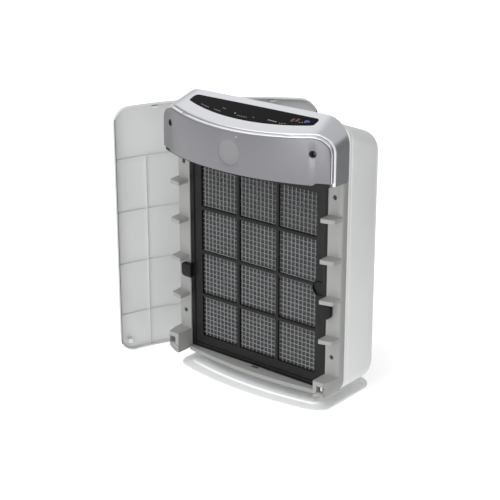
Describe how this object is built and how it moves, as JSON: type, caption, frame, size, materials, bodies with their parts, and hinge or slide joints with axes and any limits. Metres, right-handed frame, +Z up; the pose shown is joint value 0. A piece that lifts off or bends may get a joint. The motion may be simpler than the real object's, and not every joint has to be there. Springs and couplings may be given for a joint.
{
  "type": "air purifier",
  "caption": "Free-standing tower air purifier opened for a filter change, with its bowed front cover standing beside it.",
  "frame": {"origin": "on the floor, in the middle of the body's width, level with the pre-filter's front plane", "axes": "+Z up, the front (fascia and filters) faces -Y, +X to the right seen from the front"},
  "size_m": [0.5141, 0.3424, 0.568],
  "materials": {
    "white_base": "moulded white ABS, satin gloss",
    "white_shell": "moulded white ABS, fine satin",
    "white_cover": "moulded white ABS, matt inner side",
    "silver_fascia": "silver-grey painted plastic, satin",
    "silver_cap": "light silver painted plastic, satin",
    "bright_lip": "bright plated plastic strip",
    "grey_plastic": "grey moulded plastic, fine matt",
    "black_plastic": "black moulded plastic, matt",
    "black_gloss": "gloss black touch panel",
    "nylon_mesh": "grey woven nylon net",
    "carbon": "activated carbon pellets in a black net",
    "filter_paper": "white pleated glass-fibre paper and card",
    "foam": "closed-cell foam",
    "fan_plastic": "dark grey moulded plastic",
    "steel": "zinc-plated steel",
    "board": "green circuit board",
    "clear_lens": "clear light guide",
    "rubber": "black rubber"
  },
  "bodies": {
    "root": {"base_plate": "white_base", "base_neck": "white_base", "foot_pad_1": "rubber", "foot_pad_2": "rubber", "foot_pad_3": "rubber", "foot_pad_4": "rubber", "cord_gland": "rubber", "rear_shell": "white_shell", "outlet_grille": "grey_plastic", "panel_carrier": "grey_plastic", "rail_left": "grey_plastic", "rail_right": "grey_plastic", "filter_bay": "grey_plastic", "fascia_plate": "silver_fascia", "indicator_lens": "clear_lens", "trim_lip": "bright_lip", "top_cap": "silver_cap", "control_overlay": "black_gloss", "display_board": "board", "power_board": "board", "shell_screw_1": "steel", "shell_screw_2": "steel", "shell_screw_3": "steel", "shell_screw_4": "steel", "fascia_screw_1": "steel", "fascia_screw_2": "steel", "rail_screw_left_1": "steel", "rail_screw_left_2": "steel", "rail_screw_right_1": "steel", "rail_screw_right_2": "steel", "motor_screw_1": "steel", "motor_screw_2": "steel", "motor_screw_3": "steel", "fan_motor": "steel", "interlock_switch": "black_plastic", "inlet_guard": "black_plastic", "motor_capacitor": "black_plastic", "air_sensor": "black_plastic", "filter_gasket": "foam", "fan_housing": "fan_plastic"},
    "cover": {"front_cover": "white_cover"},
    "prefilter": {"prefilter_frame": "black_plastic", "prefilter_net": "nylon_mesh"},
    "carbon_filter": {"carbon_frame": "black_plastic", "carbon_media": "carbon"},
    "hepa_filter": {"hepa_frame": "filter_paper", "hepa_media": "filter_paper"},
    "fan_wheel": {"blower_wheel": "fan_plastic", "motor_shaft": "steel"},
    "switch_plunger": {"interlock_plunger": "white_cover"}
  },
  "joints": [
    {"name": "cover_lift", "type": "slide", "parent": "root", "child": "cover", "axis": [0, 0, 1], "range_m": [0, 0.25]},
    {"name": "prefilter_pull", "type": "slide", "parent": "root", "child": "prefilter", "axis": [0, -1, 0], "range_m": [0, 0.24]},
    {"name": "carbon_pull", "type": "slide", "parent": "root", "child": "carbon_filter", "axis": [0, -1, 0], "range_m": [0, 0.17]},
    {"name": "hepa_pull", "type": "slide", "parent": "root", "child": "hepa_filter", "axis": [0, -1, 0], "range_m": [0, 0.11]},
    {"name": "fan_spin", "type": "hinge", "parent": "root", "child": "fan_wheel", "pos_m": [0, 0.09, 0.243], "axis": [0, 1, 0], "continuous": true},
    {"name": "switch_press", "type": "slide", "parent": "root", "child": "switch_plunger", "axis": [0, 1, 0], "range_m": [0, 0.003], "stiffness_N_per_m": 150}
  ],
  "couplings": [
    {"joint": "carbon_pull", "follows": "prefilter_pull", "ratio": 0.7},
    {"joint": "hepa_pull", "follows": "prefilter_pull", "ratio": 0.45}
  ]
}
